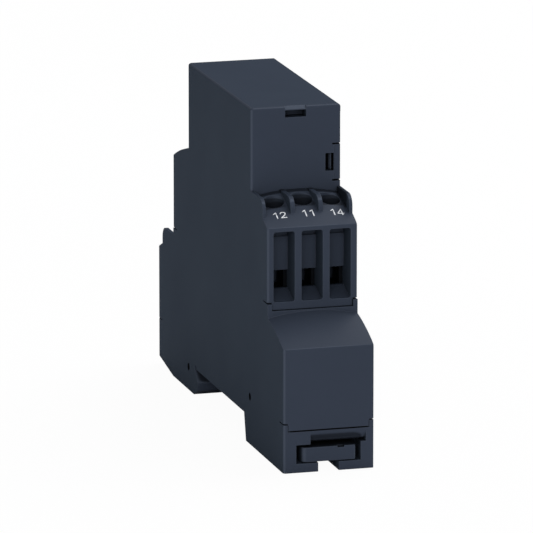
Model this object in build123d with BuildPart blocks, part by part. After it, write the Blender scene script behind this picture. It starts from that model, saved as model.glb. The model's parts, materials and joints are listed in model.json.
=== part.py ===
from build123d import *
import math
import os

os.makedirs("parts", exist_ok=True)

# Three-phase control relay for a 35 mm mounting rail. Millimetres.
# X is the width, Y runs from the near terminals to the far ones, Z points away from the rail.
# The origin is the middle of the rail side, on the plane that the feet stand on.

# Overall size
width = 17.5
length = 90.0
height = 65.0
front_length = 45.0

# Tiers: a terminal block or a blank cover stands on each tier at each end
foot_height = 9.25
tier_height = 20.65
tier_overlap = 0.18
seam_drop = 1.3
seam_gap = 0.12
slit_height = 0.25
slit_length = 2.8
lip_thickness = 1.2
post_width = 0.85

# Walls and edges
wall = 1.6
side_wall = 1.2
lid_rim = 0.8
plate_thickness = 1.5
edge_radius = 0.6
right_edge_radius = 0.15
plate_round = 0.54
fit_gap = 0.05
slide_gap = 0.1

# Rail recess and fixed hook
rail_width = 35.0
rail_play = 0.2
recess_depth = 5.35
near_foot_slant = 1.35
hook_reach = 2.05
hook_tip_height = 2.86
hook_top_height = 5.0
hook_heel_reach = 1.25
hook_heel_height = 1.13
hook_toe = 0.84
relief_height = 0.65
relief_length = 0.9
rear_ramp_length = 10.95
rear_ramp_height = 1.76
cavity_floor = 7.4

# Clip slot at the near end
slot_half_width = 6.25
slot_floor = 1.7
slot_ceiling = 5.3
channel_half_width = 2.0
channel_length = 16.0
scoop_radius = 2.5
scoop_left = -3.5
scoop_right = 7.25

# Rail clip
clip_thickness = 2.75
clip_lift = 0.25
handle_left = -5.1
handle_right = 5.3
handle_round = 1.1
handle_small_round = 0.5
handle_depth = 3.6
shank_half_width = 4.2
nose_reach = 1.5
nose_thickness = 2.05
nose_slope = 1.1
clip_travel = 3.2
stop_half_width = 1.1
stop_length = 2.2
stop_from_recess = 7.0
stop_play = 0.3
driver_notch_width = 1.3
driver_notch_depth = 0.9
driver_notch_height = 0.3
driver_notch_x = 2.4

# Sloping top of the blocks and covers, heights above their tier
slope_wall_height = 18.05
slope_edge_height = 14.4
slope_bulge = 0.42
slope_crown = 1.2
crease_slope = 31.0
upstand_proud = 0.44

# Ears and ribs between the screw pockets
ear_height = 19.25
ear_reach = 8.2
ear_round = 2.2
ear_thickness = 0.65
rib_reach = 7.65
rib_thickness = 0.85

# Terminals
terminal_pitch = 5.45
terminal_names = ("left", "middle", "right")
window_width = 4.1
window_bottom = 0.3
window_top = 13.7
window_round = 0.45
chamber_depth = 5.8
panel_thickness = 0.8
panel_top = 11.75
panel_recess = 0.5
wire_hole_bottom = 1.85
wire_hole_top = 5.35
chamber_width = 4.6
chamber_bottom = 0.9
chamber_top = 11.3
screw_shift = 0.55
screw_hole_radius = 2.15
screw_web = 0.8
head_radius = 1.95
head_height = 1.9
shank_radius = 1.45
shank_hole_radius = 1.65
drive_slot_width = 0.6
drive_slot_depth = 0.9
cage_width = 4.2
cage_gap = 0.25
cage_wall = 0.65
cage_floor_thickness = 0.6
cage_top_thickness = 1.4
bar_width = 2.3
bar_thickness = 0.9
bar_height = 5.7
bar_end_gap = 0.3
bar_neck = 1.2
tail_width = 1.0
tail_step = 2.0
tail_pin_length = 0.5

# Latch of the side cover, at the near end wall; drops are measured down from the front plate
latch_drop = 6.25
latch_height = 6.75
latch_recess = 0.15
latch_slit_start = 7.2
window_left = 5.83
window_right = 7.46
latch_window_drop = 7.9
latch_window_height = 3.4
hook_arm_thickness = 0.9
hook_barb_left = 6.5
hook_barb_right = 7.1
hook_barb_height = 1.1

# Lever notch under the front edge
notch_half_width = 2.05
notch_below_plate = 0.6
notch_above_plate = 0.75
notch_depth = 2.6
notch_chamfer = 0.6

# Small round marks on the left side
mark_radius = 0.75
mark_depth = 0.8

# Main board
board_thickness = 1.0
board_wall_gap = 0.75
board_edge_gap = 0.3
rail_strip = 1.2
strip_inset = 9.2

# Derived places
half_width = width / 2
half_length = length / 2
half_front = front_length / 2
module_depth = (half_length - half_front + tier_overlap) / 2
half_body = half_length - module_depth
upper_floor = foot_height + tier_height
pocket_depth = module_depth - chamber_depth - panel_thickness
screw_offset = chamber_depth / 2 + screw_shift
cage_depth = chamber_depth - 2 * (screw_shift + cage_gap)
roof_top = height - plate_thickness
crease_rise = module_depth * math.tan(math.radians(crease_slope))
recess_half = rail_width / 2 + rail_play
lid_inner = half_width - side_wall
lid_bottom = cavity_floor - wall + lid_rim
board_back = -half_width + side_wall + board_wall_gap
board_face = board_back + board_thickness
latch_top = roof_top - latch_drop
latch_bottom = latch_top - latch_height
latch_window_top = roof_top - latch_window_drop
latch_window_bottom = latch_window_top - latch_window_height
notch_bottom = roof_top - notch_below_plate
notch_top = roof_top + notch_above_plate
terminal_xs = [(index - 1) * terminal_pitch for index in range(len(terminal_names))]


def end_plane(side, distance):
    """A plane across the device, at a distance from its middle towards one end."""
    return Plane.XZ.offset(-side * distance)


def tee_outline(inset, bottom):
    """Corners of the stepped body seen from the side, moved inwards by inset, down to a bottom height."""
    shelf = upper_floor - inset
    low = half_body - inset
    high = half_front - inset
    top = roof_top - inset
    near_side = [(-low, bottom), (-low, shelf), (-high, shelf), (-high, top)]
    far_side = [(high, top), (high, shelf), (low, shelf), (low, bottom)]
    return near_side + far_side


def save(part, name):
    """Label a finished piece and write it."""
    part.label = name
    export_step(part, f"parts/{name}.step")


def min_distance(value, *targets):
    """The distance from a value to the nearest of the targets."""
    return min(abs(value - target) for target in targets)


def lip_seats():
    """Notches that take the lips of the pieces above the seams."""
    seat_depth = lip_thickness + slide_gap
    with BuildPart() as seats:
        for side in (-1, 1):
            for reach, seat in ((half_length, foot_height), (half_front + module_depth, upper_floor)):
                with BuildSketch(end_plane(side, reach - seat_depth)):
                    with Locations((0, seat)):
                        Rectangle(width - 2 * post_width, 2 * seam_drop)
                extrude(amount=-side * seat_depth)
    return seats.part


# Housing: a tub open to the right, with the rail foot below it
hook_y = recess_half - hook_reach
seats = lip_seats()
with BuildPart() as housing:
    with BuildSketch(Plane.YZ.offset(-half_width)):
        with BuildLine():
            Polyline(
                (-half_length, 0),
                (-half_length, foot_height),
                (-half_body, foot_height),
                (-half_body, upper_floor),
                (-half_front, upper_floor),
                (-half_front, roof_top),
                (half_front, roof_top),
                (half_front, upper_floor),
                (half_body, upper_floor),
                (half_body, foot_height),
                (half_length, foot_height),
                (half_length, rear_ramp_height),
                (half_length - rear_ramp_length, 0),
                (recess_half + hook_toe, 0),
                (recess_half - hook_heel_reach, hook_heel_height),
                (hook_y, hook_tip_height),
                (recess_half, hook_top_height),
                (recess_half, recess_depth + relief_height),
                (recess_half - relief_length, recess_depth + relief_height),
                (recess_half - relief_length, recess_depth),
                (-recess_half, recess_depth),
                (-recess_half - near_foot_slant, 0),
                close=True,
            )
        make_face()
    extrude(amount=width)
    upright = housing.edges().filter_by(Axis.Z)
    corners = [edge for edge in upright if min_distance(abs(edge.center().Y), half_front, half_length) < fit_gap]
    fillet([edge for edge in corners if edge.center().X < 0], radius=edge_radius)
    upright = housing.edges().filter_by(Axis.Z)
    corners = [edge for edge in upright if min_distance(abs(edge.center().Y), half_front, half_length) < fit_gap]
    fillet([edge for edge in corners if edge.center().X > half_width - fit_gap], radius=right_edge_radius)
    # square corners where the left side runs on into the block and the cover
    for side, beside in ((-1, ear_height), (1, slope_wall_height)):
        with BuildSketch(Plane.XY.offset(upper_floor)):
            with Locations((-half_width + edge_radius / 2, side * (half_front - edge_radius / 2))):
                Rectangle(edge_radius, edge_radius)
        extrude(amount=beside)
    # the cavity for the board and the rebate for the side cover
    with BuildSketch(Plane.YZ.offset(-half_width + side_wall)):
        with BuildLine():
            Polyline(*tee_outline(wall, cavity_floor), close=True)
        make_face()
    extrude(amount=width - side_wall, mode=Mode.SUBTRACT)
    with BuildSketch(Plane.YZ.offset(lid_inner)):
        with BuildLine():
            Polyline(*tee_outline(lid_rim, lid_bottom), close=True)
        make_face()
    extrude(amount=side_wall, mode=Mode.SUBTRACT)
    add(seats, mode=Mode.SUBTRACT)
    # clip slot, its open channel below and the scooped finger ramp above
    slot_length = half_length - recess_half + near_foot_slant
    with BuildSketch(end_plane(-1, half_length)):
        with Locations((0, (slot_floor + slot_ceiling) / 2)):
            Rectangle(2 * slot_half_width, slot_ceiling - slot_floor)
    extrude(amount=-slot_length, mode=Mode.SUBTRACT)
    with BuildSketch(end_plane(-1, half_length)):
        with Locations((0, slot_floor / 2)):
            Rectangle(2 * channel_half_width, slot_floor)
    extrude(amount=-channel_length, mode=Mode.SUBTRACT)
    scoop_inner = -half_length + scoop_radius
    with BuildSketch(Plane.YZ.offset(scoop_left)):
        with Locations((-half_length + scoop_radius / 2, slot_ceiling + scoop_radius / 2)):
            Rectangle(scoop_radius, scoop_radius)
        with Locations((scoop_inner, slot_ceiling + scoop_radius)):
            Circle(scoop_radius, mode=Mode.SUBTRACT)
    extrude(amount=scoop_right - scoop_left, mode=Mode.SUBTRACT)
    # stop that ends the clip's travel
    stop_outer = recess_half + stop_from_recess + stop_length
    with BuildSketch(Plane.XY.offset(slot_ceiling)):
        with Locations((0, -stop_outer + stop_length / 2)):
            Rectangle(2 * stop_half_width, stop_length)
    extrude(amount=-(slot_ceiling - slot_floor) / 2)
    # gaps where the contact bars pass the end walls, open towards the side cover
    bar_left = terminal_xs[0] - bar_width / 2 - slide_gap
    for side, outer, floor in ((-1, half_front, upper_floor), (1, half_body, foot_height)):
        with BuildSketch(end_plane(side, outer)):
            with Locations(((bar_left + lid_inner) / 2, floor + bar_height + bar_thickness / 2)):
                Rectangle(lid_inner - bar_left, bar_thickness + 2 * slide_gap)
        extrude(amount=side * wall, mode=Mode.SUBTRACT)
    # latch window, the corner that the cover's tongue fills, and its two slits
    with BuildSketch(end_plane(-1, half_front)):
        with Locations(((window_left + window_right) / 2, (latch_window_bottom + latch_window_top) / 2)):
            Rectangle(window_right - window_left, latch_window_top - latch_window_bottom)
        with Locations(((lid_inner + half_width) / 2, (latch_bottom + latch_top) / 2)):
            Rectangle(side_wall, latch_top - latch_bottom + 2 * slit_height)
        with Locations(
            ((latch_slit_start + half_width) / 2, latch_bottom - slit_height / 2),
            ((latch_slit_start + half_width) / 2, latch_top + slit_height / 2),
        ):
            Rectangle(half_width - latch_slit_start, slit_height)
    extrude(amount=-wall, mode=Mode.SUBTRACT)
    # lever notch, its lower part
    with BuildSketch(Plane.YZ.offset(-notch_half_width)):
        with Locations((-half_front + notch_depth / 2, (notch_bottom + roof_top) / 2)):
            Rectangle(notch_depth, roof_top - notch_bottom)
    extrude(amount=2 * notch_half_width, mode=Mode.SUBTRACT)
    # round marks on the left side
    with BuildSketch(Plane.YZ.offset(-half_width)):
        with Locations((half_front, recess_depth - mark_radius), (-half_front + mark_radius, foot_height)):
            Circle(mark_radius)
    extrude(amount=mark_depth, mode=Mode.SUBTRACT)
    # strips that carry the board
    strip_top = roof_top - wall
    with BuildSketch(Plane.YZ.offset(-half_width + side_wall)):
        for strip_y in (-half_front + strip_inset, half_front - strip_inset):
            with Locations((strip_y, (cavity_floor + strip_top) / 2)):
                Rectangle(rail_strip, strip_top - cavity_floor)
    extrude(amount=board_wall_gap)
save(housing.part, "housing")

# Side cover: lid in the rebate, with a tongue at the near corner and a hook behind the latch window
with BuildPart() as side_cover:
    with BuildSketch(Plane.YZ.offset(lid_inner)):
        with BuildLine():
            Polyline(*tee_outline(lid_rim + fit_gap, lid_bottom + fit_gap), close=True)
        make_face()
        with Locations((-half_front + latch_recess + lid_rim, (latch_bottom + latch_top) / 2)):
            Rectangle(2 * lid_rim, latch_top - latch_bottom)
    extrude(amount=side_wall)
    add(seats, mode=Mode.SUBTRACT)
    arm_face = half_front - wall - fit_gap
    arm_height = latch_window_top - latch_window_bottom - 2 * slide_gap
    with BuildSketch(Plane.YZ.offset(hook_barb_left - slide_gap)):
        with Locations((-arm_face + hook_arm_thickness / 2, (latch_window_bottom + latch_window_top) / 2)):
            Rectangle(hook_arm_thickness, arm_height)
    extrude(amount=lid_inner - hook_barb_left + slide_gap)
    with BuildSketch(Plane.XY.offset(latch_window_bottom + slide_gap)):
        with BuildLine():
            Polyline(
                (hook_barb_left, -arm_face),
                (hook_barb_right, -arm_face),
                (hook_barb_right, -arm_face - hook_barb_height),
                close=True,
            )
        make_face()
    extrude(amount=arm_height)
save(side_cover.part, "side_cover")

# Front plate: the plain front face, with the upper part of the lever notch
with BuildPart() as front_plate:
    with BuildSketch(Plane.XY.offset(roof_top)):
        Rectangle(width, front_length)
    extrude(amount=plate_thickness)
    upright = front_plate.edges().filter_by(Axis.Z).sort_by(Axis.X)
    fillet(upright[:2], radius=edge_radius)
    fillet(front_plate.faces().sort_by(Axis.Z)[-1].edges(), radius=plate_round)
    with BuildSketch(Plane.YZ.offset(-notch_half_width)):
        with Locations((-half_front + notch_depth / 2, (roof_top + notch_top) / 2)):
            Rectangle(notch_depth, notch_top - roof_top)
        with BuildLine():
            Polyline(
                (-half_front, height - notch_chamfer),
                (-half_front + notch_chamfer, height),
                (-half_front, height),
                close=True,
            )
        make_face()
    extrude(amount=2 * notch_half_width, mode=Mode.SUBTRACT)
save(front_plate.part, "front_plate")


def slope_height(share):
    """Height of the slope's side edges above the tier, at a share of the way out from the wall."""
    drop = slope_wall_height - slope_edge_height
    return slope_wall_height - drop * share + 4 * slope_bulge * share * (1 - share)


def crown_cutter(side, inner, floor):
    """The space above a slope that is crowned at the wall and straight at the outer face."""
    reach = half_width + wall
    widening = (reach / half_width) ** 2
    ceiling = floor + slope_edge_height + crease_rise + wall
    with BuildPart() as cutter:
        for share in (-0.1, 0.3, 0.7, 1.1):
            crown = slope_crown * (1 - share)
            crest = floor + slope_height(share) + crown
            foot = crest - crown * widening
            with BuildSketch(end_plane(side, inner + share * module_depth)):
                with BuildLine():
                    Polyline((-reach, foot), (-reach, ceiling), (reach, ceiling), (reach, foot))
                    ThreePointArc((reach, foot), (0, crest), (-reach, foot))
                make_face()
        loft()
    return cutter.part


def module_body(side, inner, floor):
    """A solid with rounded outer corners, a rounded crease and a crowned slope above it."""
    outer = inner + module_depth
    crease = floor + slope_edge_height
    cutter = crown_cutter(side, inner, floor)
    with BuildPart() as body:
        with BuildSketch(Plane.YZ.offset(-half_width)):
            with BuildLine():
                Polyline(
                    (side * inner, floor),
                    (side * outer, floor),
                    (side * outer, crease),
                    (side * inner, crease + crease_rise),
                    close=True,
                )
            make_face()
        extrude(amount=width)
        on_face = [edge for edge in body.edges() if abs(edge.center().Y - side * outer) < fit_gap]
        left_edges = [edge for edge in on_face if edge.center().X < -half_width + fit_gap]
        long_edges = [edge for edge in on_face if edge.length > width - fit_gap]
        crease_edge = [edge for edge in long_edges if edge.center().Z > floor + wall]
        fillet(left_edges + crease_edge, radius=edge_radius)
        on_face = [edge for edge in body.edges() if abs(edge.center().Y - side * outer) < fit_gap]
        right_edges = [edge for edge in on_face if edge.center().X > half_width - fit_gap]
        fillet(right_edges, radius=right_edge_radius)
        add(cutter, mode=Mode.SUBTRACT)
    return body.part


def seam_lip(side, outer, floor):
    """The lip that drops into the seat below the seam."""
    with BuildPart() as lip:
        with BuildSketch(end_plane(side, outer - lip_thickness)):
            with Locations((0, floor - (seam_drop - seam_gap) / 2)):
                Rectangle(width - 2 * post_width - 2 * slide_gap, seam_drop - seam_gap)
        extrude(amount=-side * lip_thickness)
    return lip.part


def corner_slits(side, outer, floor):
    """The short open slits at both corners of a seam."""
    slit_y = side * (outer - slit_length / 2)
    with BuildPart() as slits:
        with BuildSketch(Plane.XY.offset(floor)):
            with Locations(*[(edge * (half_width - post_width / 2), slit_y) for edge in (-1, 1)]):
                Rectangle(post_width, slit_length)
        extrude(amount=slit_height)
    return slits.part


def ear_wall(side, inner, floor, reach, start, thickness):
    """An upright wall beside a screw pocket, with a rounded outer corner."""
    near_y = side * inner
    far_y = side * (inner + reach)
    round_y = side * (inner + reach - ear_round)
    top = floor + ear_height
    with BuildPart() as ear:
        with BuildSketch(Plane.YZ.offset(start)):
            with BuildLine():
                Polyline((round_y, top), (near_y, top), (near_y, floor + wall), (far_y, floor + wall))
                Line((far_y, floor + wall), (far_y, top - ear_round))
                RadiusArc((far_y, top - ear_round), (round_y, top), -side * ear_round)
            make_face()
        extrude(amount=thickness)
    return ear.part


def terminal_block(side, inner, floor):
    """A terminal block: ears and ribs over a sloping label face, screw holes, wire windows and chambers."""
    outer = inner + module_depth
    body = module_body(side, inner, floor)
    lip = seam_lip(side, outer, floor)
    slits = corner_slits(side, outer, floor)
    rib_starts = [edge * terminal_pitch / 2 - rib_thickness / 2 for edge in (-1, 1)]
    walls = [ear_wall(side, inner, floor, rib_reach, start, rib_thickness) for start in rib_starts]
    for start in (-half_width, half_width - ear_thickness):
        walls.append(ear_wall(side, inner, floor, ear_reach, start, ear_thickness))
    with BuildPart() as block:
        add(body)
        add(walls)
        for x in terminal_xs:
            # chamber for the cage, open to the body
            with BuildSketch(end_plane(side, inner)):
                with Locations((x, floor + (chamber_bottom + chamber_top) / 2)):
                    Rectangle(chamber_width, chamber_top - chamber_bottom)
            extrude(amount=-side * chamber_depth, mode=Mode.SUBTRACT)
            # wire hole through the panel behind the window
            with BuildSketch(end_plane(side, inner)):
                with Locations((x, floor + (wire_hole_bottom + wire_hole_top) / 2)):
                    Rectangle(window_width, wire_hole_top - wire_hole_bottom)
            extrude(amount=-side * (module_depth - pocket_depth), mode=Mode.SUBTRACT)
            # window with rounded corners, a recess above its panel and a floor that rises to the wire hole
            pocket_y = outer - pocket_depth
            with BuildSketch(end_plane(side, pocket_y)):
                with Locations((x, floor + (window_bottom + window_top) / 2)):
                    RectangleRounded(window_width, window_top - window_bottom, window_round)
            extrude(amount=-side * pocket_depth, mode=Mode.SUBTRACT)
            with BuildSketch(end_plane(side, pocket_y - panel_recess)):
                with Locations((x, floor + (panel_top + window_top) / 2)):
                    Rectangle(window_width, window_top - panel_top)
            extrude(amount=-side * panel_recess, mode=Mode.SUBTRACT)
            with BuildSketch(Plane.YZ.offset(x - window_width / 2)):
                with BuildLine():
                    Polyline(
                        (side * pocket_y, floor + window_bottom),
                        (side * (outer - edge_radius), floor + window_bottom),
                        (side * pocket_y, floor + wire_hole_bottom),
                        close=True,
                    )
                make_face()
            extrude(amount=window_width)
        # screw holes from above, with a web that carries the screw head
        screw_spots = [(x, side * (inner + screw_offset)) for x in terminal_xs]
        with BuildSketch(Plane.XY.offset(floor + chamber_top + screw_web)):
            with Locations(*screw_spots):
                Circle(screw_hole_radius)
        extrude(amount=ear_height, mode=Mode.SUBTRACT)
        with BuildSketch(Plane.XY.offset(floor + chamber_top)):
            with Locations(*screw_spots):
                Circle(shank_hole_radius)
        extrude(amount=screw_web, mode=Mode.SUBTRACT)
        add(lip)
        add(slits, mode=Mode.SUBTRACT)
    return block.part


def blank_cover(side, inner, floor, upstand):
    """A blank cover: a shell with the same sloping top, closed outside and open to the body."""
    outer = inner + module_depth
    body = module_body(side, inner, floor)
    lip = seam_lip(side, outer, floor)
    slits = corner_slits(side, outer, floor)
    core_top = floor + slope_wall_height - wall
    core_drop = (slope_wall_height - slope_edge_height) * (module_depth - wall) / module_depth
    with BuildPart() as cover:
        add(body)
        if upstand:
            with BuildSketch(end_plane(side, inner)):
                for edge in (-1, 1):
                    with Locations((edge * (half_width - post_width / 2), floor + tier_height / 2)):
                        Rectangle(post_width, tier_height)
                with Locations((0, floor + (tier_height - seam_drop) / 2)):
                    Rectangle(width, tier_height - seam_drop)
            extrude(amount=-side * (tier_overlap + upstand_proud))
        # hollow, open to the body
        with BuildSketch(Plane.YZ.offset(-half_width + wall)):
            with BuildLine():
                Polyline(
                    (side * inner, floor + wall),
                    (side * (outer - wall), floor + wall),
                    (side * (outer - wall), core_top - core_drop),
                    (side * inner, core_top),
                    close=True,
                )
            make_face()
        extrude(amount=width - 2 * wall, mode=Mode.SUBTRACT)
        add(lip)
        add(slits, mode=Mode.SUBTRACT)
    return cover.part


save(terminal_block(-1, half_front, upper_floor), "terminal_block_near")
save(terminal_block(1, half_body, foot_height), "terminal_block_far")
save(blank_cover(-1, half_body, foot_height, True), "blank_cover_near")
save(blank_cover(1, half_front, upper_floor, False), "blank_cover_far")

# Rail clip: slider with a handle bar at the near end and a nose under the rail's edge
clip_floor = slot_floor + clip_lift
clip_top = clip_floor + clip_thickness
clip_end = -recess_half - slide_gap
with BuildPart() as rail_clip:
    with BuildSketch(Plane.XY.offset(clip_floor)):
        with Locations(((handle_left + handle_right) / 2, -half_length + handle_depth / 2)):
            Rectangle(handle_right - handle_left, handle_depth)
        shank_start = -half_length + handle_depth / 2
        with Locations((0, (shank_start + clip_end) / 2)):
            Rectangle(2 * shank_half_width, clip_end - shank_start)
    extrude(amount=clip_thickness)
    upright = rail_clip.edges().filter_by(Axis.Z)
    front_corners = upright.filter_by(lambda edge: edge.center().Y < -half_length + slide_gap)
    fillet(front_corners.sort_by(Axis.X)[0], radius=handle_round)
    fillet(rail_clip.edges().filter_by(Axis.Z).sort_by(Axis.Y)[:2].sort_by(Axis.X)[-1], radius=handle_small_round)
    # nose with a sloped lower front that rides over the rail
    with BuildSketch(Plane.YZ.offset(-shank_half_width)):
        with BuildLine():
            Polyline(
                (clip_end - nose_reach, clip_floor),
                (clip_end + slide_gap, clip_floor),
                (clip_end + slide_gap + nose_reach, clip_floor + nose_slope),
                (clip_end + slide_gap + nose_reach, clip_floor + nose_thickness),
                (clip_end - nose_reach, clip_floor + nose_thickness),
                close=True,
            )
        make_face()
    extrude(amount=2 * shank_half_width)
    # long hole around the stop
    stop_hole_start = -stop_outer - stop_play
    stop_hole_length = stop_length + 2 * stop_play + clip_travel
    with BuildSketch(Plane.XY.offset(clip_floor)):
        with Locations((0, stop_hole_start + stop_hole_length / 2)):
            Rectangle(2 * (stop_half_width + stop_play), stop_hole_length)
    extrude(amount=clip_thickness, mode=Mode.SUBTRACT)
    # notch for a screwdriver in the upper edge of the handle
    with BuildSketch(Plane.XY.offset(clip_top)):
        with Locations((driver_notch_x, -half_length + driver_notch_depth / 2)):
            Rectangle(driver_notch_width, driver_notch_depth)
    extrude(amount=-driver_notch_height, mode=Mode.SUBTRACT)
save(rail_clip.part, "rail_clip")


def terminal_screw(x, y, floor):
    """A slotted screw whose head stands on the web and whose tip stands on the contact bar."""
    seat = floor + chamber_top + screw_web + fit_gap
    tip = floor + bar_height + bar_thickness + fit_gap
    with BuildPart() as screw:
        with BuildSketch(Plane.XY.offset(seat)):
            with Locations((x, y)):
                Circle(head_radius)
        extrude(amount=head_height)
        with BuildSketch(Plane.XY.offset(tip)):
            with Locations((x, y)):
                Circle(shank_radius)
        extrude(amount=seat - tip)
        with BuildSketch(Plane.XY.offset(seat + head_height)):
            with Locations((x, y)):
                Rectangle(2 * head_radius, drive_slot_width)
        extrude(amount=-drive_slot_depth, mode=Mode.SUBTRACT)
    return screw.part


def clamp_cage(x, y, floor):
    """A bent clamp cage: a threaded top over a wire opening that runs along the device."""
    bar_top = floor + bar_height + bar_thickness
    top_under = bar_top + bar_end_gap
    bottom = floor + chamber_bottom + bar_end_gap
    cage_top = top_under + cage_top_thickness
    with BuildPart() as cage:
        with BuildSketch(Plane.XZ.offset(-y - cage_depth / 2)):
            with Locations((x, (bottom + cage_top) / 2)):
                Rectangle(cage_width, cage_top - bottom)
            with Locations((x, (bottom + cage_floor_thickness + top_under) / 2)):
                Rectangle(
                    cage_width - 2 * cage_wall,
                    top_under - bottom - cage_floor_thickness,
                    mode=Mode.SUBTRACT,
                )
        extrude(amount=cage_depth)
        with BuildSketch(Plane.XY.offset(top_under)):
            with Locations((x, y)):
                Circle(shank_radius + slide_gap)
        extrude(amount=cage_top_thickness, mode=Mode.SUBTRACT)
    return cage.part


def contact_bar(index, side, inner, floor):
    """A flat bar from the cage through the end wall, bent to a pin in the board."""
    x = terminal_xs[index]
    start = inner + chamber_depth - bar_end_gap
    wall_inner = inner - wall
    tail_outer = wall_inner - board_edge_gap - tail_step / 2 - index * tail_step
    neck_x = max(x, board_face + bar_neck / 2 + slide_gap)
    cross_end = board_face + slide_gap
    with BuildPart() as bar:
        with BuildSketch(Plane.XY.offset(floor + bar_height)):
            with Locations((x, side * (start + wall_inner) / 2)):
                Rectangle(bar_width, start - wall_inner)
            with Locations((neck_x, side * (inner + tail_outer - tail_width) / 2)):
                Rectangle(bar_neck, inner - tail_outer + tail_width)
            with Locations(((neck_x + cross_end) / 2, side * (tail_outer - tail_width / 2))):
                Rectangle(neck_x - cross_end, tail_width)
            pin_x = (cross_end + board_back - tail_pin_length) / 2
            with Locations((pin_x, side * (tail_outer - tail_width / 2))):
                Rectangle(cross_end - board_back + tail_pin_length, tail_width - 2 * slide_gap)
        extrude(amount=bar_thickness)
    return bar.part


terminal_ends = (("near", -1, half_front, upper_floor), ("far", 1, half_body, foot_height))
for end_name, side, inner, floor in terminal_ends:
    screw_y = side * (inner + screw_offset)
    for index, x in enumerate(terminal_xs):
        place = f"{end_name}_{terminal_names[index]}"
        save(terminal_screw(x, screw_y, floor), f"terminal_screw_{place}")
        save(clamp_cage(x, screw_y, floor), f"clamp_cage_{place}")
        save(contact_bar(index, side, inner, floor), f"contact_bar_{place}")

# Main board: stepped like the body, on the strips of the left wall
with BuildPart() as main_board:
    with BuildSketch(Plane.YZ.offset(board_back)):
        with BuildLine():
            Polyline(*tee_outline(wall + board_edge_gap, cavity_floor + board_edge_gap), close=True)
        make_face()
        for end_name, side, inner, floor in terminal_ends:
            for index in range(len(terminal_xs)):
                pin_y = inner - wall - board_edge_gap - tail_step / 2 - index * tail_step - tail_width / 2
                with Locations((side * pin_y, floor + bar_height + bar_thickness / 2)):
                    Rectangle(tail_width, bar_thickness + 2 * slide_gap, mode=Mode.SUBTRACT)
    extrude(amount=board_thickness)
save(main_board.part, "main_board")

# Sealed relay on the board; heights are above the board face
relay_y = 6.0
relay_drop = 15.5
relay_length = 20.4
relay_width = 10.4
relay_height = 12.2
relay_wall = 0.75
relay_base_height = 1.5
bobbin_size = 7.4
bobbin_length = 10.2
bobbin_flange = 0.8
bobbin_start = -7.0
tube_radius = 2.0
coil_radius = 3.5
core_radius = 1.3
pole_radius = 1.7
pole_thickness = 0.7
yoke_thickness = 1.2
yoke_width = 6.4
yoke_lift = 0.2
yoke_foot_gap = 0.7
yoke_end_gap = 0.1
pole_gap = 0.7
armature_thickness = 1.1
armature_overlap = 0.8
blade_thickness = 0.2
blade_width = 3.0
contact_radius = 0.6
contact_thickness = 0.5
contact_height = 1.1
contact_gap = 0.1
contact_travel = 0.72

relay_z = roof_top - relay_drop
relay_floor = board_face + relay_base_height
coil_x = relay_floor + bobbin_size / 2
bobbin_top = relay_floor + bobbin_size
yoke_under = bobbin_top + yoke_lift
pole_face = bobbin_start + bobbin_length + pole_thickness
armature_inner = pole_face + pole_gap
yoke_end = armature_inner - yoke_end_gap

with BuildPart() as relay_base:
    with BuildSketch(Plane.YZ.offset(board_face)):
        with Locations((relay_y, relay_z)):
            Rectangle(
                relay_length - 2 * (relay_wall + fit_gap),
                relay_width - 2 * (relay_wall + fit_gap),
            )
    extrude(amount=relay_base_height)
save(relay_base.part, "relay_base")

with BuildPart() as relay_cover:
    with BuildSketch(Plane.YZ.offset(board_face)):
        with Locations((relay_y, relay_z)):
            Rectangle(relay_length, relay_width)
    extrude(amount=relay_height)
    fillet(relay_cover.edges().filter_by(Axis.X), radius=edge_radius)
    with BuildSketch(Plane.YZ.offset(board_face)):
        with Locations((relay_y, relay_z)):
            Rectangle(relay_length - 2 * relay_wall, relay_width - 2 * relay_wall)
    extrude(amount=relay_height - relay_wall, mode=Mode.SUBTRACT)
save(relay_cover.part, "relay_cover")


def coil_plane(y):
    """A plane across the coil's axis, with its origin on that axis and facing the armature."""
    return Plane(origin=(coil_x, relay_y + y, relay_z), x_dir=(1, 0, 0), z_dir=(0, 1, 0))


with BuildPart() as relay_bobbin:
    for start in (bobbin_start, bobbin_start + bobbin_length - bobbin_flange):
        with BuildSketch(coil_plane(start)):
            Rectangle(bobbin_size, bobbin_size)
        extrude(amount=bobbin_flange)
    with BuildSketch(coil_plane(bobbin_start)):
        Circle(tube_radius)
    extrude(amount=bobbin_length)
    with BuildSketch(coil_plane(bobbin_start)):
        Circle(core_radius + fit_gap)
    extrude(amount=bobbin_length, mode=Mode.SUBTRACT)
save(relay_bobbin.part, "relay_bobbin")

with BuildPart() as relay_coil:
    with BuildSketch(coil_plane(bobbin_start + bobbin_flange + fit_gap)):
        Circle(coil_radius)
        Circle(tube_radius + fit_gap, mode=Mode.SUBTRACT)
    extrude(amount=bobbin_length - 2 * (bobbin_flange + fit_gap))
save(relay_coil.part, "relay_coil")

with BuildPart() as relay_core:
    with BuildSketch(coil_plane(bobbin_start)):
        Circle(core_radius)
    extrude(amount=bobbin_length)
    with BuildSketch(coil_plane(bobbin_start + bobbin_length)):
        Circle(pole_radius)
    extrude(amount=pole_thickness)
save(relay_core.part, "relay_core")

with BuildPart() as relay_yoke:
    with BuildSketch(Plane.XY.offset(relay_z - yoke_width / 2)):
        with BuildLine():
            Polyline(
                (relay_floor + yoke_foot_gap, relay_y + bobbin_start),
                (yoke_under, relay_y + bobbin_start),
                (yoke_under, relay_y + yoke_end),
                (yoke_under + yoke_thickness, relay_y + yoke_end),
                (yoke_under + yoke_thickness, relay_y + bobbin_start - yoke_thickness),
                (relay_floor + yoke_foot_gap, relay_y + bobbin_start - yoke_thickness),
                close=True,
            )
        make_face()
    extrude(amount=yoke_width)
save(relay_yoke.part, "relay_yoke")

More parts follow.
